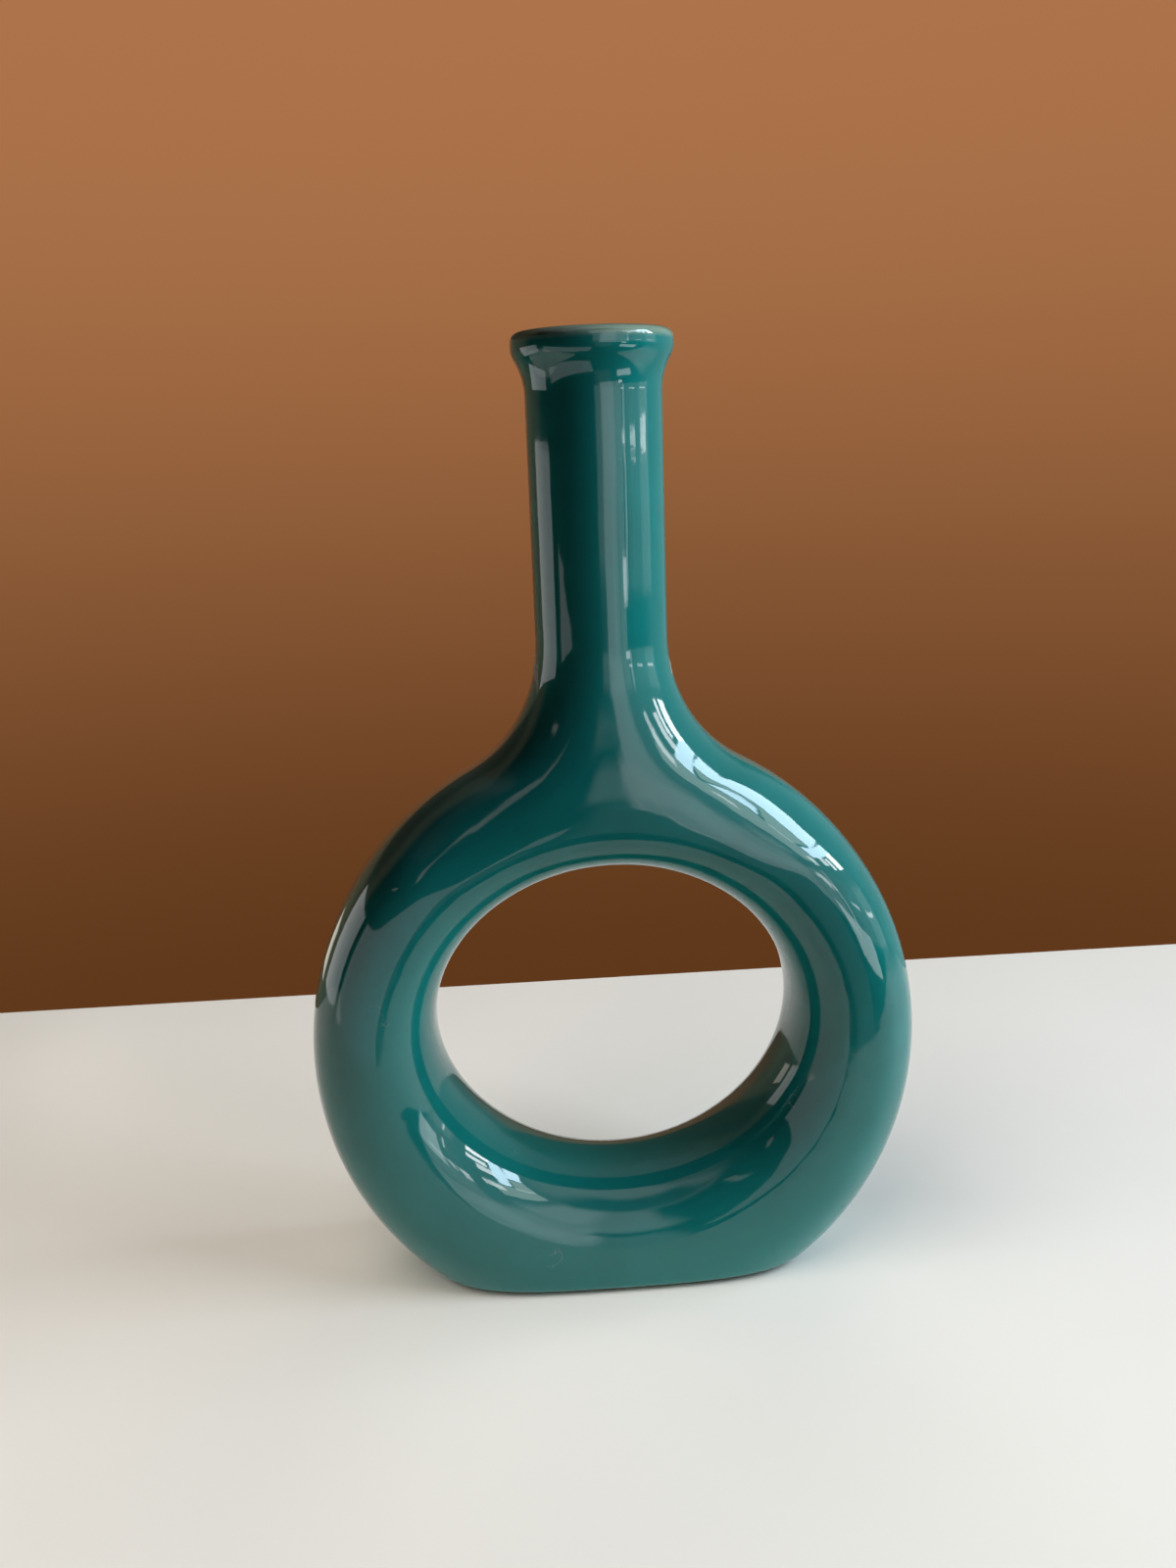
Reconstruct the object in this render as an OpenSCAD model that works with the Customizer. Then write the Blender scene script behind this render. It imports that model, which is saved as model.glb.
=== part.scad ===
// Ring-shaped vase with a narrow bottle neck, in glazed slip-cast stoneware.
// +Z is up, the front faces -Y, and the origin is on the table under the middle of the foot.
// The ring is drawn as one smooth face, which is a height over the plane of the mould's seam.
// That face is repeated at three depths: glaze outside, clay outside and clay inside.

/* [Overall] */
// Height from the table to the top of the lip
vase_h = 250; // [225:1:300]

/* [Ring] */
// Widest part of the ring, left to right
ring_w = 163; // [150:1:190]
// Height of the ring's full oval, of which the foot cuts off the bottom
ring_h = 171; // [160:1:190]
// Height of the oval's centre above the table
ring_z = 66.2; // [60:0.1:76]
// Depth of the ring, front to back
ring_d = 46; // [42:1:60]
// Width of the hole
hole_w = 96.5; // [70:0.5:104]
// Height of the hole
hole_h = 88; // [60:1:90]
// Height of the hole's centre above the table
hole_z = 73.2; // [68:0.1:78]
// Fullness of the ring's section, where 2 is a plain oval and more is squarer
section_power = 2.35; // [1.9:0.05:2.8]
// Where across the ring its thickest place lies, from the hole's edge to the outer edge
ridge_share = 0.5; // [0.4:0.01:0.6]
// Radius of the hollow curve between the neck and the ring
shoulder_r = 38; // [28:1:60]

/* [Neck] */
// Outer diameter of the straight neck
neck_d = 33.6; // [30:0.2:42]
// Diameter of the bore for the stems
bore_d = 25; // [18:0.5:27]

/* [Lip] */
// Outer diameter of the rolled lip
lip_d = 39.6; // [36:0.2:48]
// Radius of the lip's outer top edge
lip_edge_r = 2.4; // [1.5:0.1:3.5]
// Radius of the lip's inner top edge
mouth_edge_r = 2; // [1:0.1:2.2]
// Straight band round the lip under its top edge
lip_band = 1; // [0.4:0.1:3]
// Radius of the swell under the band
lip_swell_r = 6; // [4:0.5:8]
// Radius of the hollow curve from the swell to the neck
lip_hollow_r = 16; // [10:1:24]

/* [Walls] */
// Thickness of the clay wall
wall = 4.3; // [3:0.1:5.5]
// Thickness of the glaze on the outside
glaze = 0.5; // [0.3:0.05:0.8]
// How far the glaze runs down inside the mouth, below its rounded edge
glaze_run = 8; // [3:0.5:20]

/* [Foot] */
// Height of the bare foot rim under the glaze
foot_h = 1; // [0.6:0.1:3]
// Width of the foot rim
foot_rim_w = 6; // [4:0.5:9]
// How far the foot rim stands in from the edge of the underside
foot_inset = 1; // [0.5:0.1:3]
// Radius of the edge between the sides and the underside
foot_edge_r = 2; // [1.5:0.1:4]

/* [Hidden] */

// Smoothness: steps across the front, over the neck, shoulder, flank and foot, and along an arc
across_n = 10;
neck_n = 20;
shoulder_n = 7;
flank_n = 18;
foot_n = 14;
arc_n = 10;
solve_n = 30;
$fn = 96;

clay_color = [0.86, 0.80, 0.70];
glaze_color = [0.05, 0.40, 0.39];

neck_r = neck_d / 2;
bore_r = bore_d / 2;
lip_r = lip_d / 2;
oval_power = 2;

function unit(v) = v / norm(v);
function mix(a, b, t) = a + (b - a) * t;
// Eases from 0 to 1 as v goes from lo to hi
function ease(v, lo, hi) = let (t = min(max((v - lo) / (hi - lo), 0), 1)) t * t * (3 - 2 * t);
// Height of a full, rounded arch of unit size at u, from -1 to 1
function arch(u, p) = pow(max(1 - pow(abs(u), p), 0), 1 / p);
function arc(c, r, from, to) =
    [for (i = [0 : arc_n])
        let (q = mix(from, to, i / arc_n))
        c + r * [cos(q), sin(q)]];

// A skin holds the sizes of one face of the ring, t under the glaze, with its own neck radius:
// half width, half height, hole's half width and half height, half depth, neck radius,
// shoulder radius, underside, edge radius and the angle where shoulder and oval meet
function skin(t, r) =
    let (a = ring_w / 2 - t, c = ring_h / 2 - t, s = shoulder_r + neck_r - r)
    [a, c, hole_w / 2 + t, hole_h / 2 + t, ring_d / 2 - t, r, s,
     foot_h + max(t - glaze, 0), max(foot_edge_r - max(t - glaze, 0), 0), meet(a, c, s, r, 0, 90, solve_n)];
function half_w(k) = k[0];
function half_h(k) = k[1];
function hole_half_w(k) = k[2];
function hole_half_h(k) = k[3];
function half_d(k) = k[4];
function stem_r(k) = k[5];
function curve_r(k) = k[6];
function under_z(k) = k[7];
function edge_r(k) = k[8];
function meet_q(k) = k[9];

// Angle from the top of an oval at which a circle of radius s touches it and a neck of radius r
function oval_normal(q, a, c) = unit([sin(q) / a, cos(q) / c]);
function meet(a, c, s, r, lo, hi, n) =
    let (q = (lo + hi) / 2, over = a * sin(q) + s * oval_normal(q, a, c)[0] - r - s)
    n == 0 ? q : over < 0 ? meet(a, c, s, r, q, hi, n - 1) : meet(a, c, s, r, lo, q, n - 1);
// Heights where the shoulder leaves the oval, and where it becomes the straight neck
function meet_z(k) = ring_z + half_h(k) * cos(meet_q(k));
function stem_z(k) = meet_z(k) + curve_r(k) * oval_normal(meet_q(k), half_w(k), half_h(k))[1];

glaze_skin = skin(0, neck_r);
clay_skin = skin(glaze, neck_r - glaze);
cavity_skin = skin(glaze + wall, bore_r);
// The neck stands on the ring a little above the end of the shoulder's curve
joint_rise = glaze;
joint_z = max([for (k = [glaze_skin, clay_skin, cavity_skin]) stem_z(k)]) + joint_rise;

// Half width of the outline at height z, seen from the front
function outline_x(k, z) =
    z >= stem_z(k) ? stem_r(k) :
    z >= meet_z(k) ? stem_r(k) + curve_r(k) - sqrt(pow(curve_r(k), 2) - pow(stem_z(k) - z, 2)) :
    half_w(k) * sqrt(max(1 - pow((z - ring_z) / half_h(k), 2), 0));

// Distance from the hole's centre to the edge of the hole, and to the ring's oval, at angle q
function hole_reach(k, q) = 1 / norm([sin(q) / hole_half_w(k), cos(q) / hole_half_h(k)]);
function oval_reach(k, q) =
    let (d = hole_z - ring_z,
         a = pow(sin(q) / half_w(k), 2) + pow(cos(q) / half_h(k), 2),
         b = cos(q) * d / pow(half_h(k), 2),
         c = pow(d / half_h(k), 2) - 1)
    (sqrt(b * b - a * c) - b) / a;

// Half depth of the ring at x, z: an arch from the hole's edge to the outer edge
function ring_y(k, x, z) =
    let (r = norm([x, z - hole_z]),
         q = atan2(x, z - hole_z),
         inner = hole_reach(k, q),
         outer = oval_reach(k, q),
         ridge = mix(inner, outer, ridge_share),
         u = r < ridge ? (ridge - r) / (ridge - inner) : (r - ridge) / (outer - ridge))
    half_d(k) * arch(u, section_power);

// Half depth of the shoulder at x, z: an oval that turns into the neck's circle
function shoulder_y(k, x, z) =
    let (crest_z = mix(hole_z + hole_half_h(k), ring_z + half_h(k), ridge_share),
         t = ease(z, crest_z, stem_z(k)))
    mix(half_d(k), stem_r(k), t) * arch(x / outline_x(k, z), mix(section_power, oval_power, t));

// Half depth anywhere: the ring below turns into the shoulder above the hole
function face_y(k, x, z) =
    let (t = ease(z, hole_z + hole_half_h(k), meet_z(k)))
    t == 0 ? ring_y(k, x, z) : t == 1 ? shoulder_y(k, x, z) : mix(ring_y(k, x, z), shoulder_y(k, x, z), t);

// Distance from the hole's centre to the outline at angle q, found by halving
function inside(k, x, z) = z < joint_z && z > under_z(k) && abs(x) < outline_x(k, z);
function along(r, q) = [r * sin(q), hole_z + r * cos(q)];
function outline_reach(k, q, lo, hi, n) =
    let (r = (lo + hi) / 2, p = along(r, q))
    n == 0 ? r :
    inside(k, p[0], p[1]) ? outline_reach(k, q, r, hi, n - 1) : outline_reach(k, q, lo, r, n - 1);
function outline_point(k, q) = along(outline_reach(k, q, 0, vase_h, solve_n), q);

function angle_of(p) = atan2(p[0], p[1] - hole_z);
function foot_x(k) = outline_x(k, under_z(k));

// The outer ends of the lines that run over the face from the hole, once round from the neck's left
function neck_ends(k) = [for (i = [0 : neck_n]) [stem_r(k) * sin(180 * i / neck_n - 90), joint_z]];
function side_angles(k) =
    let (top = angle_of([stem_r(k), joint_z]),
         low = angle_of([half_w(k) * sin(meet_q(k)), meet_z(k)]),
         foot = angle_of([foot_x(k), under_z(k)]))
    concat([for (i = [1 : shoulder_n]) mix(top, low, i / shoulder_n)],
           [for (i = [1 : flank_n - 1]) mix(low, foot, i / flank_n)]);
function foot_ends(k) = [for (i = [0 : foot_n]) [foot_x(k) * cos(180 * i / foot_n), under_z(k)]];
function line_ends(k) =
    let (right = [for (q = side_angles(k)) outline_point(k, q)], n = len(right))
    concat(neck_ends(k), right, foot_ends(k), [for (i = [1 : n]) [-right[n - i][0], right[n - i][1]]]);

side_n = shoulder_n + flank_n - 1;
foot_start = neck_n + 1 + side_n;
lines_n = foot_start + foot_n + 1 + side_n;
row_n = across_n + 1;

// Direction out from the middle of the foot at a point near the underside
function side_normal(k, p) =
    let (n = [p[0] / pow(foot_x(k), 2), p[1] / pow(half_d(k), 2)])
    norm(n) == 0 ? n : unit(n);

// Draws a point in at the bottom, so that the sides round into the underside
function draw_in(k, p) =
    let (r = edge_r(k), rise = p[2] - under_z(k))
    rise >= r ? p :
    let (n = side_normal(k, p), inset = r - sqrt(r * r - pow(r - rise, 2)))
    [p[0] - inset * n[0], p[1] - inset * n[1], p[2]];

// Front and back meet at the hole's edge and at the outline, but not round the neck and the underside
function is_open(i) = (i > 0 && i < neck_n) || (i > foot_start && i < foot_start + foot_n);
function is_edge(i, j) = j == 0 || (j == across_n && !is_open(i % lines_n));

// Points of the front half, line by line, from the hole's edge out to the outline
function front_points(k) =
    let (ends = line_ends(k))
    [for (i = [0 : lines_n - 1])
        let (q = angle_of(ends[i]), start = along(hole_reach(k, q), q))
        for (j = [0 : across_n])
            let (p = mix(start, ends[i], (1 - cos(180 * j / across_n)) / 2))
            draw_in(k, [p[0], is_edge(i, j) ? 0 : -face_y(k, p[0], p[1]), p[1]])];
function back_points(k) = [for (p = front_points(k)) [p[0], -p[1], p[2]]];

// Numbers of the points on front and back
function front(i, j) = (i % lines_n) * row_n + j;
function back(i, j) = front(i, j) + (is_edge(i, j) ? 0 : lines_n * row_n);
function skin_points(k) = concat(front_points(k), back_points(k));
skin_count = 2 * lines_n * row_n;

// Faces of one skin, seen from outside, and the loops of points round its neck and its underside
skin_faces = [for (i = [0 : lines_n - 1], j = [0 : across_n - 1], f = [
    [front(i, j), front(i + 1, j + 1), front(i + 1, j)],
    [front(i, j), front(i, j + 1), front(i + 1, j + 1)],
    [back(i, j), back(i + 1, j), back(i + 1, j + 1)],
    [back(i, j), back(i + 1, j + 1), back(i, j + 1)]])
    if (f[0] != f[1] && f[1] != f[2] && f[2] != f[0]) f];
neck_loop = concat([for (i = [0 : neck_n]) front(i, across_n)],
                   [for (i = [1 : neck_n - 1]) back(neck_n - i, across_n)]);
foot_loop = concat([for (i = [0 : foot_n]) front(foot_start + i, across_n)],
                   [for (i = [1 : foot_n - 1]) back(foot_start + foot_n - i, across_n)]);

function shifted(faces, n) = [for (f = faces) [for (v = f) v + n]];
function flipped(faces) = [for (f = faces) [for (i = [len(f) - 1 : -1 : 0]) f[i]]];
// Closes the gap between a loop of the outer skin and the same loop of the inner one
function band(loop) =
    [for (i = [0 : len(loop) - 1], f = let (a = loop[i], b = loop[(i + 1) % len(loop)])
        [[a, b, b + skin_count], [a, b + skin_count, a + skin_count]]) f];
inner_faces = shifted(flipped(skin_faces), skin_count);

// The outside of the lip and neck, t under the glaze, from the joint over the top into the mouth
function neck_line(t) =
    let (swell = [lip_r - lip_swell_r, vase_h - lip_edge_r - lip_band],
         gap = neck_r + lip_hollow_r - swell[0],
         hollow = [neck_r + lip_hollow_r, swell[1] - sqrt(pow(lip_swell_r + lip_hollow_r, 2) - gap * gap)],
         turn = atan2(swell[1] - hollow[1], gap))
    concat([[neck_r - t, joint_z]],
           arc(hollow, lip_hollow_r + t, 180, 180 - turn),
           arc(swell, lip_swell_r - t, -turn, 0),
           arc([lip_r - lip_edge_r, vase_h - lip_edge_r], lip_edge_r - t, 0, 90),
           arc([bore_r + mouth_edge_r, vase_h - mouth_edge_r], mouth_edge_r - t, 90, 180),
           [[bore_r + t, vase_h - mouth_edge_r - glaze_run]]);

// Points round the foot rim, inset from the edge of the clay underside
function rim_points(inset) =
    let (points = skin_points(clay_skin))
    [for (v = foot_loop)
        let (p = points[v], n = side_normal(clay_skin, p))
        [p[0], p[1]] - inset * n];

// The hollow clay ring with its shoulder, open only at the joint with the neck
module ring_body() {
    color(clay_color)
    polyhedron(points = concat(skin_points(clay_skin), skin_points(cavity_skin)),
               faces = concat(skin_faces, flipped([foot_loop]), inner_faces,
                              shifted([foot_loop], skin_count), flipped(band(neck_loop))));
}

// The clay neck, with its bore and its rolled lip
module neck() {
    color(clay_color)
    rotate_extrude()
    polygon(concat(neck_line(glaze), [[bore_r, vase_h - mouth_edge_r - glaze_run], [bore_r, joint_z]]));
}

// The rim that the vase stands on, wiped bare of glaze
module foot_rim() {
    color(clay_color)
    linear_extrude(foot_h)
    difference() {
        polygon(rim_points(foot_inset));
        polygon(rim_points(foot_inset + foot_rim_w));
    }
}

// The coat of glaze on the ring and shoulder, which ends at the edge of the underside
module ring_glaze() {
    color(glaze_color)
    polyhedron(points = concat(skin_points(glaze_skin), skin_points(clay_skin)),
               faces = concat(skin_faces, inner_faces, flipped(band(neck_loop)), flipped(band(foot_loop))));
}

// The coat of glaze on the neck, over the lip and a little way into the mouth
module neck_glaze() {
    color(glaze_color)
    rotate_extrude()
    polygon(concat(neck_line(0), flipped([neck_line(glaze)])[0]));
}

ring_body();
neck();
foot_rim();
ring_glaze();
neck_glaze();
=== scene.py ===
import math

import bmesh
import bpy
import numpy as np
from mathutils import Matrix, Quaternion, Vector


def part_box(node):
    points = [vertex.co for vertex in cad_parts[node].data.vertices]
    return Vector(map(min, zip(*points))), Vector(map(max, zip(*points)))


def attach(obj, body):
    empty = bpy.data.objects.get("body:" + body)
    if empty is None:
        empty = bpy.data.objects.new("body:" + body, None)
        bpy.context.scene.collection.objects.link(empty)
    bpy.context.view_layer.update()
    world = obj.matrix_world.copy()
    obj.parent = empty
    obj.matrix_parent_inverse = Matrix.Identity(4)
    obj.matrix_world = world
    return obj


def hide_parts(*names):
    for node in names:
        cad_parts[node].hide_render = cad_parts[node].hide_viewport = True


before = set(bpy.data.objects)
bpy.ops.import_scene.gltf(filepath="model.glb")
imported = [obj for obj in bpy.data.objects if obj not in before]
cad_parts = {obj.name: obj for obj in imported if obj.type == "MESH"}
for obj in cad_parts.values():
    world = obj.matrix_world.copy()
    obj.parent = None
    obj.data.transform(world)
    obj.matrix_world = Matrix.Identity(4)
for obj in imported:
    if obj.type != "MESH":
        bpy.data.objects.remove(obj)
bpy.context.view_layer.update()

# Sizes of the vase in metres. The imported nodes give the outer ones.
ring_low, ring_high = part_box("ring_glaze")
lip_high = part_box("neck_glaze")[1]
RING_HALF_W = ring_high.x
RING_HALF_D = ring_high.y
UNDERSIDE_Z = ring_low.z
LIP_R = lip_high.x
VASE_H = lip_high.z
GLAZE = ring_high.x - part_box("ring_body")[1].x

# The rest of the driving dimensions, as in the part's source: ring, hole and the ring's section
RING_HALF_H = 0.0855
RING_Z = 0.0662
HOLE_HALF_W = 0.04825
HOLE_HALF_H = 0.044
HOLE_Z = 0.0732
SECTION_POWER = 2.35
RIDGE_SHARE = 0.5

# Shoulder, neck, lip and foot
SHOULDER_R = 0.038
NECK_R = 0.0168
BORE_R = 0.0125
LIP_EDGE_R = 0.0024
MOUTH_EDGE_R = 0.002
LIP_BAND = 0.001
LIP_SWELL_R = 0.006
LIP_HOLLOW_R = 0.016
GLAZE_RUN = 0.008
FOOT_EDGE_R = 0.002

# Steps of the mesh across the ring's face, up the straight neck and round each arc of the lip
ACROSS_N = 44
STRAIGHT_N = 20
ARC_N = 14

# Steps round half of the neck, down one shoulder and one flank, and round half of the underside
NECK_N = 72
SHOULDER_N = 36
FLANK_N = 110
FOOT_N = 56

# The first of the face's lines that ends at the underside
FOOT_START = NECK_N + SHOULDER_N + FLANK_N

# Halvings in each search, and a length that no division goes below
HALVINGS = 40
TINY = 1e-9

# The camera, as it stood for the photograph: place, then turn to the right, tilt down and roll in
# radians, focal length and frame height in pixels, and the sensor's long side in millimetres
CAMERA_PLACE = Vector((-0.02325, -0.3287, 0.2236))
CAMERA_YAW = 0.05631
CAMERA_PITCH = 0.2555
CAMERA_ROLL = -0.03632
FOCAL_PIXELS = 1326
FRAME_H = 1600
SENSOR = 36

# The pale board that the vase stands on
BOARD_FRONT = -0.168
BOARD_BACK = 0.196
BOARD_HALF_W = 0.9
BOARD_THICK = 0.03
BOARD_EDGE_R = BOARD_THICK / 10

# Colours of the glaze: its two near shades, the pale band at the lip's edge (glaze that thins over the
# edge, and a painted reflection on the rounded top), and specks and scuffs
DEEP_TEAL = (0.0060, 0.182, 0.170)
TEAL = (0.0090, 0.223, 0.209)
THIN_GLAZE_AND_SHEEN = (0.26, 0.34, 0.25)
PALE_MARK = (0.30, 0.42, 0.40)

# Depths below the top at which the pale band of thinned glaze and painted reflection begins, is full, is
# last full and ends
THIN_GLAZE_AND_SHEEN_DEPTHS = (0.0030, 0.0012, 0.0003, 0)

# The bare stoneware, its grain and its specks
CLAY_DARK = (0.52, 0.43, 0.33)
CLAY_LIGHT = (0.62, 0.54, 0.43)
GRAIN = (0.36, 0.28, 0.20)
IRON_SPECK = (0.16, 0.11, 0.08)

# The board's two near shades
BOARD_WARM = (0.72, 0.69, 0.665)
BOARD_LIGHT = (0.76, 0.73, 0.705)


def mix(a, b, t):
    """From a to b by the share t."""
    return a + (b - a) * t


def ease(v, low, high):
    """Share from 0 at low to 1 at high, level at both ends."""
    t = np.clip((v - low) / (high - low), 0, 1)
    return t * t * (3 - 2 * t)


def arch(u, power):
    """Height of an arch of width 2 and height 1 at u. A power of 2 makes it a half circle."""
    return np.maximum(1 - np.abs(u) ** power, 0) ** (1 / power)


def seam_lines():
    """Which lines of front and back meet at the outline: all but those to the neck and underside."""
    seam = np.ones(NECK_N + 2 * SHOULDER_N + 2 * FLANK_N + FOOT_N, bool)
    seam[1:NECK_N] = False
    seam[FOOT_START + 1 : FOOT_START + FOOT_N] = False
    return seam


class Skin:
    """One face of the ring and shoulder, t inside the outer face of the glaze."""

    def __init__(self, t):
        self.half_w = RING_HALF_W - t
        self.half_h = RING_HALF_H - t
        self.half_d = RING_HALF_D - t
        self.hole_half_w = HOLE_HALF_W + t
        self.hole_half_h = HOLE_HALF_H + t
        self.stem_r = NECK_R - t
        self.curve_r = SHOULDER_R + t
        self.find_meeting()
        self.foot_x = float(self.outline_x(UNDERSIDE_Z))

    def find_meeting(self):
        """Finds where the shoulder's arc leaves the ring's oval and where it reaches the neck."""
        low, high = 0.0, math.pi / 2
        for _ in range(HALVINGS):
            self.meet_q = (low + high) / 2
            reach = self.half_w * math.sin(self.meet_q) + self.curve_r * self.oval_normal()[0]
            if reach < self.stem_r + self.curve_r:
                low = self.meet_q
            else:
                high = self.meet_q
        self.meet_z = RING_Z + self.half_h * math.cos(self.meet_q)
        self.stem_z = self.meet_z + self.curve_r * self.oval_normal()[1]

    def oval_normal(self):
        """The oval's outward direction where the shoulder's arc leaves it."""
        across = math.sin(self.meet_q) / self.half_w
        up = math.cos(self.meet_q) / self.half_h
        return Vector((across, up)).normalized()

    def outline_x(self, z):
        """Half width of the outline at height z, seen from the front."""
        oval = self.half_w * np.sqrt(np.maximum(1 - ((z - RING_Z) / self.half_h) ** 2, 0))
        drop = np.clip(self.stem_z - z, 0, self.curve_r)
        shoulder = self.stem_r + self.curve_r - np.sqrt(self.curve_r**2 - drop**2)
        return np.where(z >= self.meet_z, shoulder, oval)

    def hole_reach(self, q):
        """Distance from the hole's centre to its edge at the angles q from straight up."""
        return 1 / np.hypot(np.sin(q) / self.hole_half_w, np.cos(q) / self.hole_half_h)

    def oval_reach(self, q):
        """Distance from the hole's centre to the ring's oval at the angles q."""
        rise = (HOLE_Z - RING_Z) / self.half_h
        a = (np.sin(q) / self.half_w) ** 2 + (np.cos(q) / self.half_h) ** 2
        b = np.cos(q) * rise / self.half_h
        return (np.sqrt(b * b - a * (rise**2 - 1)) - b) / a

    def ring_y(self, x, z):
        """Half depth of the ring: an arch from the hole's edge to the outer edge."""
        r = np.hypot(x, z - HOLE_Z)
        q = np.arctan2(x, z - HOLE_Z)
        inner, outer = self.hole_reach(q), self.oval_reach(q)
        ridge = mix(inner, outer, RIDGE_SHARE)
        u = np.where(r < ridge, (ridge - r) / (ridge - inner), (r - ridge) / (outer - ridge))
        return self.half_d * arch(u, SECTION_POWER)

    def shoulder_y(self, x, z):
        """Half depth of the shoulder: an oval that turns into the neck's circle."""
        crest = mix(HOLE_Z + self.hole_half_h, RING_Z + self.half_h, RIDGE_SHARE)
        t = ease(z, crest, self.stem_z)
        wide = np.maximum(self.outline_x(z), self.stem_r)
        return mix(self.half_d, self.stem_r, t) * arch(x / wide, mix(SECTION_POWER, 2, t))

    def face_y(self, x, z):
        """Half depth of the whole face, which turns from ring to shoulder above the hole."""
        t = ease(z, HOLE_Z + self.hole_half_h, self.meet_z)
        return mix(self.ring_y(x, z), self.shoulder_y(x, z), t)

    def outline_reach(self, q, joint_z):
        """Distance from the hole's centre to the outline at the angles q, found by halving."""
        low, high = np.zeros_like(q), np.full_like(q, VASE_H)
        for _ in range(HALVINGS):
            r = (low + high) / 2
            x, z = r * np.sin(q), HOLE_Z + r * np.cos(q)
            inside = (z < joint_z) & (z > UNDERSIDE_Z) & (np.abs(x) < self.outline_x(z))
            low, high = np.where(inside, r, low), np.where(inside, high, r)
        return low

    def line_ends(self, joint_z):
        """Outer ends of the lines that run from the hole, once round from the neck's left."""
        turn = np.pi * np.arange(NECK_N + 1) / NECK_N
        neck = np.c_[-self.stem_r * np.cos(turn), np.full(NECK_N + 1, joint_z)]
        top = math.atan2(self.stem_r, joint_z - HOLE_Z)
        low = math.atan2(self.half_w * math.sin(self.meet_q), self.meet_z - HOLE_Z)
        foot = math.atan2(self.foot_x, UNDERSIDE_Z - HOLE_Z)
        q = np.r_[mix(top, low, np.arange(1, SHOULDER_N + 1) / SHOULDER_N),
                  mix(low, foot, np.arange(1, FLANK_N) / FLANK_N)]
        r = self.outline_reach(q, joint_z)
        right = np.c_[r * np.sin(q), HOLE_Z + r * np.cos(q)]
        turn = np.pi * np.arange(FOOT_N + 1) / FOOT_N
        under = np.c_[self.foot_x * np.cos(turn), np.full(FOOT_N + 1, UNDERSIDE_Z)]
        return np.r_[neck, right, under, right[::-1] * [-1, 1]]

    def draw_in(self, points):
        """Draws the bottom in, so that the sides round into the underside."""
        short = np.clip(FOOT_EDGE_R - (points[..., 2] - UNDERSIDE_Z), 0, FOOT_EDGE_R)
        inset = FOOT_EDGE_R - np.sqrt(FOOT_EDGE_R**2 - short**2)
        way = points[..., :2] / [self.foot_x**2, self.half_d**2]
        size = np.maximum(np.hypot(way[..., 0], way[..., 1]), TINY)
        points[..., :2] -= way / size[..., None] * inset[..., None]
        return points

    def front(self, joint_z):
        """Points of the front half: line by line, each from the hole's edge out to the outline."""
        ends = self.line_ends(joint_z)
        q = np.arctan2(ends[:, 0], ends[:, 1] - HOLE_Z)
        reach = self.hole_reach(q)
        starts = np.c_[reach * np.sin(q), HOLE_Z + reach * np.cos(q)]
        share = (1 - np.cos(np.pi * np.arange(ACROSS_N + 1) / ACROSS_N)) / 2
        flat = mix(starts[:, None], ends[:, None], share[None, :, None])
        y = self.face_y(flat[..., 0], flat[..., 1])
        y[:, 0] = 0
        y[seam_lines(), -1] = 0
        return self.draw_in(np.stack([flat[..., 0], -y, flat[..., 1]], -1))


def arc(centre, r, start, end):
    """Points on an arc, with its angles in degrees."""
    q = np.radians(np.linspace(start, end, ARC_N + 1))
    return np.c_[centre[0] + r * np.cos(q), centre[1] + r * np.sin(q)]


def neck_line(t, joint_z):
    """Radius and height along the neck and lip, from the joint over the top into the mouth."""
    swell = (LIP_R - LIP_SWELL_R, VASE_H - LIP_EDGE_R - LIP_BAND)
    gap = NECK_R + LIP_HOLLOW_R - swell[0]
    drop = math.sqrt((LIP_SWELL_R + LIP_HOLLOW_R) ** 2 - gap**2)
    hollow = (NECK_R + LIP_HOLLOW_R, swell[1] - drop)
    turn = math.degrees(math.atan2(drop, gap))
    rise = np.linspace(joint_z, hollow[1], STRAIGHT_N + 1)[1:-1]
    parts = [np.c_[np.full(len(rise), NECK_R - t), rise],
             arc(hollow, LIP_HOLLOW_R + t, 180, 180 - turn),
             arc(swell, LIP_SWELL_R - t, -turn, 0)[1:],
             arc((LIP_R - LIP_EDGE_R, VASE_H - LIP_EDGE_R), LIP_EDGE_R - t, 0, 90),
             arc((BORE_R + MOUTH_EDGE_R, VASE_H - MOUTH_EDGE_R), MOUTH_EDGE_R - t, 90, 180),
             [[BORE_R + t, VASE_H - MOUTH_EDGE_R - GLAZE_RUN]]]
    return np.concatenate(parts)


class Grid:
    """Collects points and faces of the coat of glaze."""

    def __init__(self):
        self.points = []
        self.faces = []

    def add(self, points):
        """Adds points and returns their numbers."""
        first = len(self.points)
        self.points.extend(map(tuple, points))
        return np.arange(first, len(self.points))

    def strip(self, a, b):
        """Faces between two loops of point numbers that run the same way."""
        for i in range(len(a)):
            k = (i + 1) % len(a)
            corners = (a[i], a[k], b[k], b[i])
            face = [corner for m, corner in enumerate(corners) if corner != corners[m - 1]]
            if len(face) > 2:
                self.faces.append(face)


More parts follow.
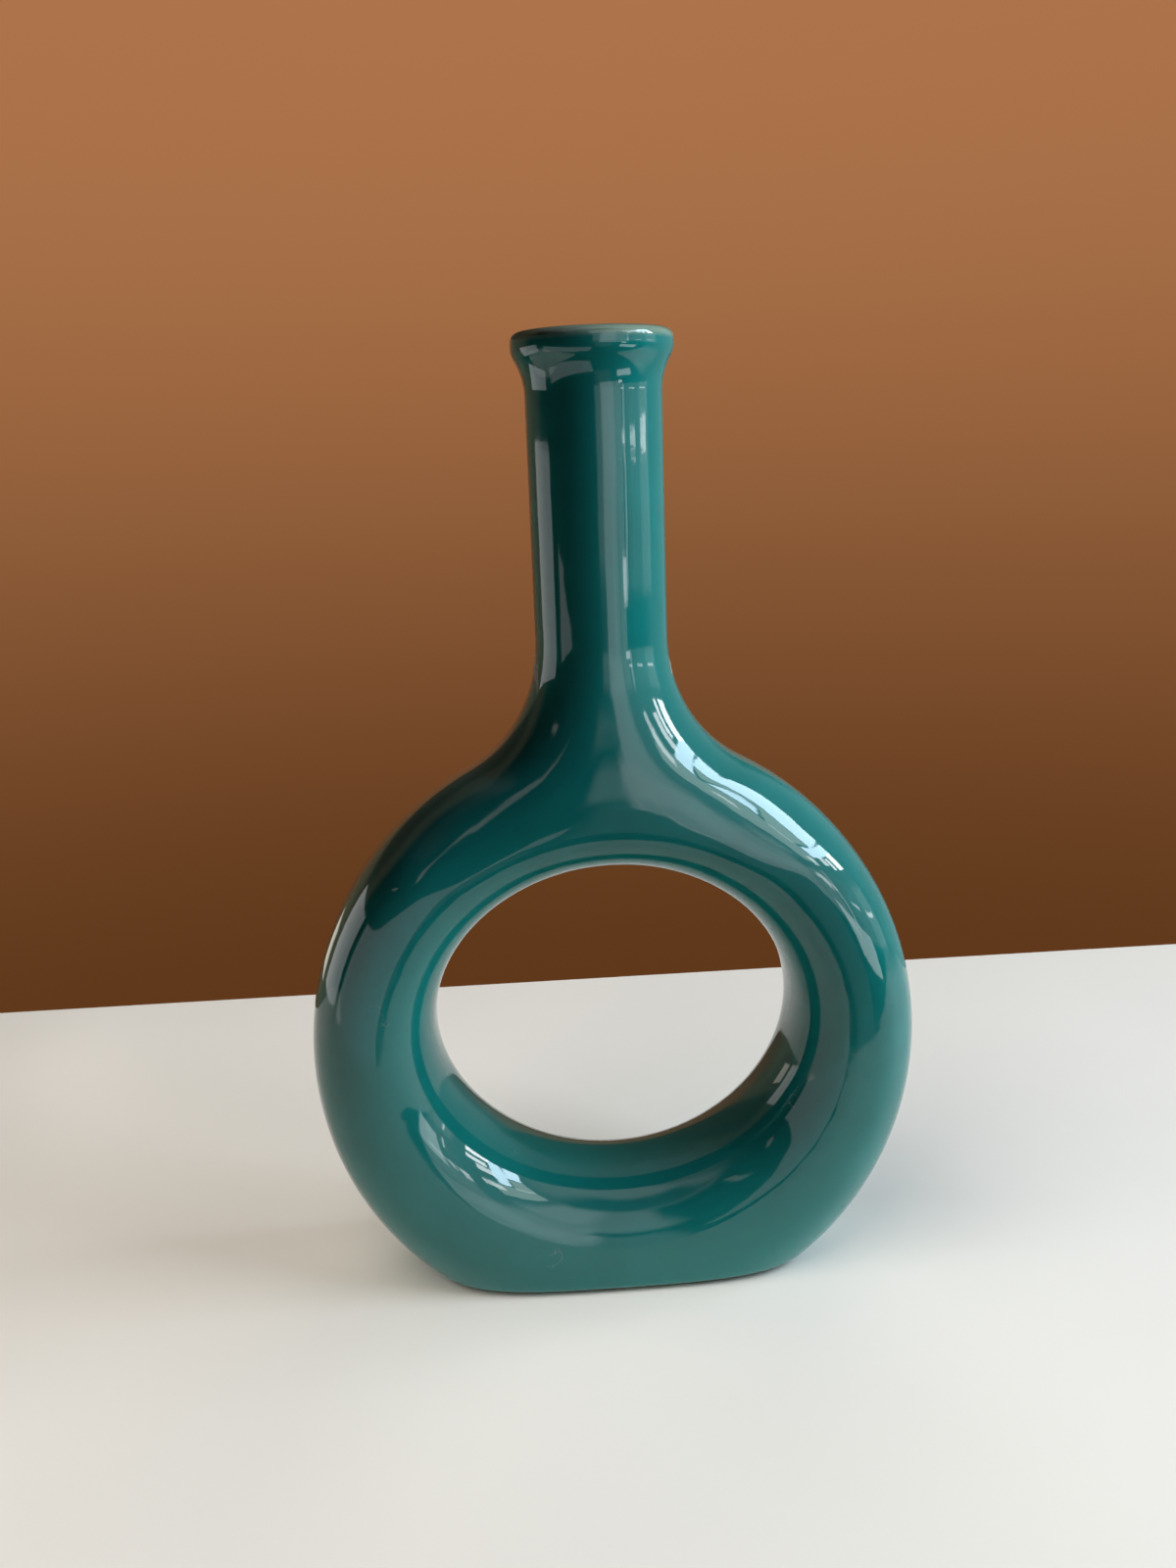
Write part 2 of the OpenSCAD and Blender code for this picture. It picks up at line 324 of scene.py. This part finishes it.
def coat_side(grid, t, joint_z):
    """One side of the coat of glaze. Returns its end loops at the foot and in the mouth."""
    skin = Skin(t)
    front = skin.front(joint_z)
    back = front * [1, -1, 1]
    lines = len(front)
    front_no = grid.add(front.reshape(-1, 3)).reshape(lines, -1)
    back_no = grid.add(back.reshape(-1, 3)).reshape(lines, -1)
    neck_open = np.arange(1, NECK_N)
    foot_end = FOOT_START + FOOT_N
    foot_open = np.arange(FOOT_START + 1, foot_end)
    seam = seam_lines()
    back_no[:, 0] = front_no[:, 0]
    back_no[seam, -1] = front_no[seam, -1]
    for j in range(ACROSS_N):
        grid.strip(front_no[:, j], front_no[:, j + 1])
        grid.strip(back_no[:, j + 1], back_no[:, j])
    neck_loop = np.r_[front_no[: NECK_N + 1, -1], back_no[neck_open[::-1], -1]]
    foot_loop = np.r_[front_no[FOOT_START : foot_end + 1, -1], back_no[foot_open[::-1], -1]]
    q = np.pi * np.arange(2 * NECK_N) / NECK_N
    below = neck_loop
    for r, z in neck_line(t, joint_z):
        loop = grid.add(np.c_[-r * np.cos(q), -r * np.sin(q), np.full(len(q), z)])
        grid.strip(below, loop)
        below = loop
    return foot_loop, below


def make_coat():
    """The whole coat of glaze as one closed mesh, by the formulas of the part's source."""
    outer, inner = Skin(0), Skin(GLAZE)
    joint_z = max(outer.stem_z, inner.stem_z) + GLAZE
    grid = Grid()
    foot_out, mouth_out = coat_side(grid, 0, joint_z)
    half = len(grid.faces)
    foot_in, mouth_in = coat_side(grid, GLAZE, joint_z)
    grid.faces[half:] = [face[::-1] for face in grid.faces[half:]]
    grid.strip(foot_out, foot_in)
    grid.strip(mouth_in, mouth_out)
    mesh = bpy.data.meshes.new("glaze_coat")
    mesh.from_pydata(grid.points, [], grid.faces)
    work = bmesh.new()
    work.from_mesh(mesh)
    loose = [v for v in work.verts if not v.link_faces]
    bmesh.ops.delete(work, geom=loose, context="VERTS")
    bmesh.ops.recalc_face_normals(work, faces=work.faces)
    for face in work.faces:
        face.smooth = True
    if not all(edge.is_manifold for edge in work.edges):
        raise ValueError("the coat of glaze isn't closed")
    work.to_mesh(mesh)
    work.free()
    coat = bpy.data.objects.new("glaze_coat", mesh)
    bpy.context.scene.collection.objects.link(coat)
    return coat


class Nodes:
    """Short calls for the nodes of a material or of the world."""

    def __init__(self, owner):
        self.owner = owner
        owner.use_nodes = True
        self.tree = owner.node_tree
        world = isinstance(owner, bpy.types.World)
        self.shader = self.tree.nodes["Background" if world else "Principled BSDF"]
        self.place = self.node("ShaderNodeTexCoord").outputs["Generated" if world else "Object"]

    def node(self, kind, **values):
        """A new node with these settings."""
        made = self.tree.nodes.new(kind)
        for name, value in values.items():
            setattr(made, name, value)
        return made

    def put(self, socket, value):
        """Links another node's output to the socket, or sets a plain value on it."""
        if isinstance(value, bpy.types.NodeSocket):
            self.tree.links.new(value, socket)
        else:
            socket.default_value = value

    def noise(self, scale, detail=3, rough=0.5, place=None):
        """Soft noise, mostly between 0.3 and 0.7."""
        made = self.node("ShaderNodeTexNoise")
        self.put(made.inputs["Vector"], place or self.place)
        self.put(made.inputs["Scale"], scale)
        self.put(made.inputs["Detail"], detail)
        self.put(made.inputs["Roughness"], rough)
        return made.outputs["Fac"]

    def dots(self, scale):
        """Distance from the nearest of many scattered points."""
        made = self.node("ShaderNodeTexVoronoi")
        self.put(made.inputs["Vector"], self.place)
        self.put(made.inputs["Scale"], scale)
        return made.outputs["Distance"]

    def ramp(self, value, low, high, start=0.0, end=1.0):
        """Runs smoothly from start at low to end at high."""
        made = self.node("ShaderNodeMapRange", interpolation_type="SMOOTHSTEP")
        sockets = ("Value", "From Min", "From Max", "To Min", "To Max")
        for socket, number in zip(sockets, (value, low, high, start, end)):
            self.put(made.inputs[socket], number)
        return made.outputs["Result"]

    def band(self, value, start, full, last, end):
        """1 between full and last, and softly down to 0 at start and end."""
        return self.product(self.ramp(value, start, full), self.ramp(value, end, last))

    def product(self, a, b):
        return self.math("MULTIPLY", a, b)

    def math(self, operation, a, b=0.0):
        made = self.node("ShaderNodeMath", operation=operation)
        self.put(made.inputs[0], a)
        self.put(made.inputs[1], b)
        return made.outputs[0]

    def blend(self, share, a, b):
        """From colour a to colour b by the share."""
        made = self.node("ShaderNodeMix", data_type="RGBA")
        self.put(made.inputs["Factor"], share)
        self.put(made.inputs["A"], (*a, 1) if isinstance(a, tuple) else a)
        self.put(made.inputs["B"], (*b, 1) if isinstance(b, tuple) else b)
        return made.outputs["Result"]

    def height(self):
        """Height above the table."""
        made = self.node("ShaderNodeSeparateXYZ")
        self.put(made.inputs[0], self.place)
        return made.outputs["Z"]

    def bump(self, height, distance, below=None):
        """Relief of this depth in metres, on top of the relief below where there is one."""
        made = self.node("ShaderNodeBump")
        self.put(made.inputs["Height"], height)
        self.put(made.inputs["Distance"], distance)
        if below is not None:
            self.put(made.inputs["Normal"], below)
        return made.outputs["Normal"]


def dust_specks(n):
    """Small round specks, only in some patches."""
    specks = n.ramp(n.dots(420), 0.035, 0.02)
    return n.product(specks, n.ramp(n.noise(60, detail=2), 0.62, 0.70))


def scuffs(n):
    """Fine short lines where a noise crosses its middle, in few places."""
    line = n.math("ABSOLUTE", n.math("SUBTRACT", n.noise(300, detail=1), 0.5))
    return n.product(n.ramp(line, 0.014, 0.004), n.ramp(n.noise(70, detail=1), 0.74, 0.79, 0, 0.6))


def glaze_material():
    """Opaque dark teal glaze, high gloss, a little wavy, pale over the lip's edge where the glaze thins,
    with a painted reflection on the rounded top.
    """
    n = Nodes(bpy.data.materials.new("teal_glaze"))
    cloud = n.ramp(n.noise(28, detail=4, rough=0.55), 0.35, 0.7)
    colour = n.blend(cloud, DEEP_TEAL, TEAL)
    # Painted reflection: the top 3 mm of the lip turn pale grey-green, partly for glaze that thins over
    # the edge, partly as a painted reflection of the ceiling on the rounded top.
    thin_and_sheen = n.band(n.height(), *(VASE_H - depth for depth in THIN_GLAZE_AND_SHEEN_DEPTHS))
    colour = n.blend(n.product(thin_and_sheen, 0.85), colour, THIN_GLAZE_AND_SHEEN)
    colour = n.blend(n.math("MAXIMUM", dust_specks(n), scuffs(n)), colour, PALE_MARK)
    n.put(n.shader.inputs["Base Color"], colour)
    smear = n.noise(90, detail=5, rough=0.6)
    n.put(n.shader.inputs["Roughness"], n.ramp(smear, 0.3, 0.75, 0.035, 0.075))
    n.put(n.shader.inputs["IOR"], 1.5)
    waves = n.bump(n.noise(55, detail=2, rough=0.4), distance=0.0002)
    pits = n.bump(n.noise(900, detail=2), distance=0.000004, below=waves)
    n.put(n.shader.inputs["Normal"], pits)
    return n.owner


def clay_material():
    """Bare fired stoneware: matt, sandy, with dark specks."""
    n = Nodes(bpy.data.materials.new("bare_stoneware"))
    grain = n.noise(900, detail=5, rough=0.65)
    colour = n.blend(n.ramp(n.noise(60, detail=4), 0.35, 0.7), CLAY_DARK, CLAY_LIGHT)
    colour = n.blend(n.ramp(grain, 0.55, 0.75, 0, 0.5), colour, GRAIN)
    colour = n.blend(n.ramp(n.dots(700), 0.12, 0.06, 0, 0.7), colour, IRON_SPECK)
    n.put(n.shader.inputs["Base Color"], colour)
    n.put(n.shader.inputs["Roughness"], n.ramp(grain, 0.3, 0.7, 0.75, 0.95))
    n.put(n.shader.inputs["Normal"], n.bump(grain, distance=0.0002))
    return n.owner


def board_material():
    """Pale satin board, with hardly any cloudiness."""
    n = Nodes(bpy.data.materials.new("pale_board"))
    n.put(n.shader.inputs["Base Color"], n.blend(n.noise(12), BOARD_WARM, BOARD_LIGHT))
    n.put(n.shader.inputs["Roughness"], 0.55)
    return n.owner


def dress(name, material):
    """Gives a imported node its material."""
    node = bpy.data.objects[name]
    node.data.materials.clear()
    node.data.materials.append(material)


def make_board():
    """The plain pale board under the vase, with rounded edges."""
    work = bmesh.new()
    bmesh.ops.create_cube(work, size=1)
    size = (2 * BOARD_HALF_W, BOARD_BACK - BOARD_FRONT, BOARD_THICK)
    middle = (0, (BOARD_BACK + BOARD_FRONT) / 2, -BOARD_THICK / 2)
    bmesh.ops.scale(work, vec=size, verts=work.verts)
    bmesh.ops.translate(work, vec=middle, verts=work.verts)
    edges = list(work.edges)
    bmesh.ops.bevel(work, geom=edges, offset=BOARD_EDGE_R, segments=4, profile=0.5, affect="EDGES")
    mesh = bpy.data.meshes.new("board")
    work.to_mesh(mesh)
    work.free()
    board = bpy.data.objects.new("board", mesh)
    bpy.context.scene.collection.objects.link(board)
    mesh.materials.append(board_material())
    return board


def make_camera():
    """The camera where the photograph was taken from."""
    data = bpy.data.cameras.new("camera")
    data.sensor_width = SENSOR
    data.lens = FOCAL_PIXELS / FRAME_H * SENSOR
    camera = bpy.data.objects.new("camera", data)
    bpy.context.scene.collection.objects.link(camera)
    reach = math.cos(CAMERA_PITCH)
    ahead = Vector((math.sin(CAMERA_YAW) * reach, math.cos(CAMERA_YAW) * reach, -math.sin(CAMERA_PITCH)))
    level = Vector((math.cos(CAMERA_YAW), -math.sin(CAMERA_YAW), 0))
    upward = level.cross(ahead)
    right = level * math.cos(CAMERA_ROLL) + upward * math.sin(CAMERA_ROLL)
    up = upward * math.cos(CAMERA_ROLL) - level * math.sin(CAMERA_ROLL)
    turn = Matrix((right, up, -ahead)).transposed().to_4x4()
    camera.matrix_world = Matrix.Translation(CAMERA_PLACE) @ turn
    bpy.context.scene.camera = camera


def add_light(name, place, aim, size, radiance, colour, roll=0, diffuse=True, glossy=True):
    """A soft rectangular light of this radiance, rolled about its own axis by degrees."""
    data = bpy.data.lights.new(name, "AREA")
    data.shape = "RECTANGLE"
    data.size, data.size_y = size
    data.energy = radiance * math.pi * size[0] * size[1]
    data.color = colour
    light = bpy.data.objects.new(name, data)
    light.location = place
    light.rotation_mode = "QUATERNION"
    turn = (aim - place).to_track_quat("-Z", "Y")
    light.rotation_quaternion = turn @ Quaternion((0, 0, 1), math.radians(roll))
    bpy.context.scene.collection.objects.link(light)
    light.visible_camera = False
    light.visible_diffuse = diffuse
    light.visible_glossy = glossy
    return light


def add_panel(name, azimuths, heights, distance, radiance, colour, roll=0, **seen):
    """An upright light that faces the vase. Azimuth 0 is in front of the vase, and 90 to its right.

    seen is diffuse=False or glossy=False, for a light without that part.
    """
    a = math.radians(sum(azimuths) / 2)
    middle = Vector((0, 0, sum(heights) / 2))
    width = 2 * distance * math.tan(math.radians(azimuths[1] - azimuths[0]) / 2)
    size = (width, heights[1] - heights[0])
    place = middle + Vector((math.sin(a), -math.cos(a), 0)) * distance
    add_light(name, place, middle, size, radiance, colour, roll, **seen)


# The room that the vase mirrors. Each row has azimuths, elevations, how far these fall per degree of
# azimuth, and a colour. Angles are in degrees, as start, full, last and end. Later rows lie on top.
ALL_ROUND = (-181, -180, 180, 181)
ALL_ELEVATIONS = (-91, -90, 90, 91)
WALL = "wall"
WALL_LOW = (0.115, 0.040, 0.011)
WALL_HIGH = (0.42, 0.175, 0.070)
WALL_TOP = (0.16, 0.10, 0.06)
DARK_ROOM = (0.015, 0.016, 0.016)
ROOM = (
    # Brown wall behind the vase, grey on its right, olive on its left, and a dark band across the wall
    ((-181, -180, -158, -140), ALL_ELEVATIONS, 0, WALL),
    ((150, 156, 180, 181), ALL_ELEVATIONS, 0, WALL),
    ((72, 100, 142, 158), ALL_ELEVATIONS, 0, (0.35, 0.39, 0.39)),
    ((-160, -145, -115, -98), (-30, -10, 50, 60), 0, (0.22, 0.17, 0.09)),
    ((-181, -180, -130, -112), (7, 12, 28, 40), 0, (0.085, 0.065, 0.040)),
    ((140, 152, 180, 181), (7, 12, 28, 40), 0, (0.085, 0.065, 0.040)),
    # Pale things in front and on the right
    ((12, 24, 84, 100), (-6, 2, 60, 80), 0, (0.58, 0.63, 0.63)),
    ((-4, 0, 10, 16), (-9, -3, 6, 11), 0, (0.731, 0.781, 0.769)),
    ((-10, -3, 22, 34), (10, 18, 44, 50), 0, (1.26, 1.34, 1.32)),
    ((10, 18, 30, 40), (18, 24, 42, 48), 0, (2.08, 2.19, 2.17)),
    ((9, 12, 26, 34), (-5, 0, 16, 24), 0, (1.89, 1.99, 1.98)),
    ((-2, 4, 22, 28), (-30, -26, -10, -5), 0, (0.252, 0.277, 0.277)),
    # A glint and a slanted streak on the left
    ((-69, -66, -60, -57), (22, 23.4, 24.8, 26), 0, (1.01, 1.01, 0.945)),
    ((-45, -42, -36, -33), (-26, -23, -20, -17), 1.33, (1.01, 1.01, 0.945)),
    # Ceiling, brighter in front and on the right, with a dark patch
    (ALL_ROUND, (38, 62, 90, 91), 0, (0.42, 0.40, 0.36)),
    ((-75, -40, 100, 130), (41, 54, 90, 91), 0, (1.2, 1.22, 1.16)),
    ((-60, -35, 30, 60), (44, 50, 62, 72), 0, (0.126, 0.139, 0.139)),
)

# Bright low parts in front and on the right, broken into upright lines: azimuths, elevations, colour
LOW_ELEVATIONS = (-11, -9.5, 8, 12)
RAISED_ELEVATIONS = (-7, -5.5, 8, 12)
STREAKS = (
    ((6, 9, 28, 31), LOW_ELEVATIONS, (2.39, 2.52, 2.55)),
    ((28, 31, 41, 43), LOW_ELEVATIONS, (1.70, 1.79, 1.79)),
    ((43.5, 45, 47, 48.5), RAISED_ELEVATIONS, (3.15, 3.28, 3.28)),
    ((49, 51, 73, 75), RAISED_ELEVATIONS, (0.88, 0.93, 0.93)),
    ((73, 76, 92, 98), RAISED_ELEVATIONS, (1.64, 1.73, 1.74)),
)


def wall_colour(n, up):
    """The brown wall by the sine of the elevation: dark low down, lit higher up and dim above."""
    wall = n.blend(n.ramp(up, -0.4, 0.3), WALL_LOW, WALL_HIGH)
    return n.blend(n.ramp(up, 0.3, 0.6), wall, WALL_TOP)


def make_room():
    """The room's colours by direction. The camera sees only the wall, and no soft light comes from it."""
    n = Nodes(bpy.data.worlds.new("room"))
    split = n.node("ShaderNodeSeparateXYZ")
    n.put(split.inputs[0], n.place)
    right, back, up = split.outputs
    azimuth = n.math("DEGREES", n.math("ARCTAN2", right, n.product(back, -1)))
    elevation = n.math("DEGREES", n.math("ARCSINE", up))
    wall = wall_colour(n, up)
    colour = DARK_ROOM
    for azimuths, elevations, fall, shade in ROOM:
        level = n.math("ADD", elevation, n.product(azimuth, fall)) if fall else elevation
        share = n.product(n.band(azimuth, *azimuths), n.band(level, *elevations))
        colour = n.blend(share, colour, wall if shade == WALL else shade)
    lines = n.ramp(n.noise(0.3, detail=5, rough=0.75, place=azimuth), 0.40, 0.60, 0.45, 1)
    for azimuths, elevations, shade in STREAKS:
        share = n.product(n.band(azimuth, *azimuths), n.band(elevation, *elevations))
        colour = n.blend(n.product(lines, share), colour, shade)
    colour = n.blend(n.node("ShaderNodeLightPath").outputs["Is Camera Ray"], colour, wall)
    n.put(n.shader.inputs["Color"], colour)
    bpy.context.scene.world = n.owner
    n.owner.cycles_visibility.diffuse = False


# Colours of the lights
WHITE = (0.95, 0.97, 1.0)
BLUE = (0.62, 0.83, 1.0)
SKY = (0.79, 0.91, 1.0)
COOL = (0.86, 0.96, 1.0)
PALE = (0.88, 1.0, 0.93)
WARM = (1.0, 0.93, 0.82)

# Lights that only reflections show: azimuths in degrees, heights, distance, radiance, colour, any roll.
# These are the panes of the window on the right.
WINDOW = (
    ("window_low", (80, 90), (0.66, 1.14), 2, 18.9, WHITE),
    ("window_low", (71, 76), (0.66, 1.07), 2, 15.1, WHITE),
    ("window_low", (62, 69), (0.80, 1.14), 2, 11.3, WHITE),
    ("window_low", (47, 52), (0.73, 1.07), 2, 7.56, WHITE),
    ("window_blue", (55, 90), (1.14, 1.43), 2, 18.3, BLUE),
    ("window_bar", (52, 67), (1.45, 1.89), 2, 3.78, PALE),
    ("window_high", (68, 91), (1.45, 1.89), 2, 18.9, BLUE),
    ("window_side", (41, 54), (0.87, 1.89), 2, 3.28, PALE),
)
# These are a window more to the front, the far sill, and pale things near the vase.
CARDS = (
    ("front_window", (37.5, 44), (0.115, 0.155), 0.62, 6.3, WHITE),
    ("sill", (42, 47), (0.212, 0.268), 3, 7, WHITE),
    ("sill", (57, 67), (0.212, 0.268), 3, 7, WHITE),
    ("sill", (78, 90), (0.212, 0.268), 3, 7, WHITE),
    ("low_right", (36, 60), (-0.06, 0.05), 0.6, 4.28, COOL),
    ("left_card", (-122, -86), (0.0, 0.225), 0.55, 1.51, WHITE),
    ("left_back", (-137, -127), (0.03, 0.08), 0.30, 1.51, WARM),
    ("left_low", (-78, -4), (-0.07, 0.10), 0.35, 0.945, WHITE, -17),
)


def make_lights(board):
    """All lights. Three of them give the soft light, and the last of these lights only the board."""
    for row in WINDOW:
        add_panel(*row, diffuse=False)
    add_panel("window_glow", (54, 100), (0.30, 0.64), 0.6, 12.4, SKY, glossy=False)
    for row in CARDS:
        add_panel(*row, diffuse=False)
    foot = Vector((0, 0, 0))
    behind = Vector((0.3, 0.7, 0.6))
    add_light("behind", behind, foot, (0.6, 0.6), 1.5, WARM, glossy=False)
    left_above = Vector((-0.45, -0.35, 0.8))
    fill = add_light("board_fill", left_above, foot, (0.9, 0.9), 3.25, WARM, glossy=False)
    lit = bpy.data.collections.new("lit_by_board_fill")
    lit.objects.link(board)
    fill.light_linking.receiver_collection = lit


make_camera()
coat = make_coat()
coat.data.materials.append(glaze_material())
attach(coat, "root")
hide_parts("ring_glaze", "neck_glaze")

clay = clay_material()
for name in ("ring_body", "neck", "foot_rim"):
    dress(name, clay)

make_lights(make_board())
make_room()
bpy.context.scene.view_settings.view_transform = "Standard"
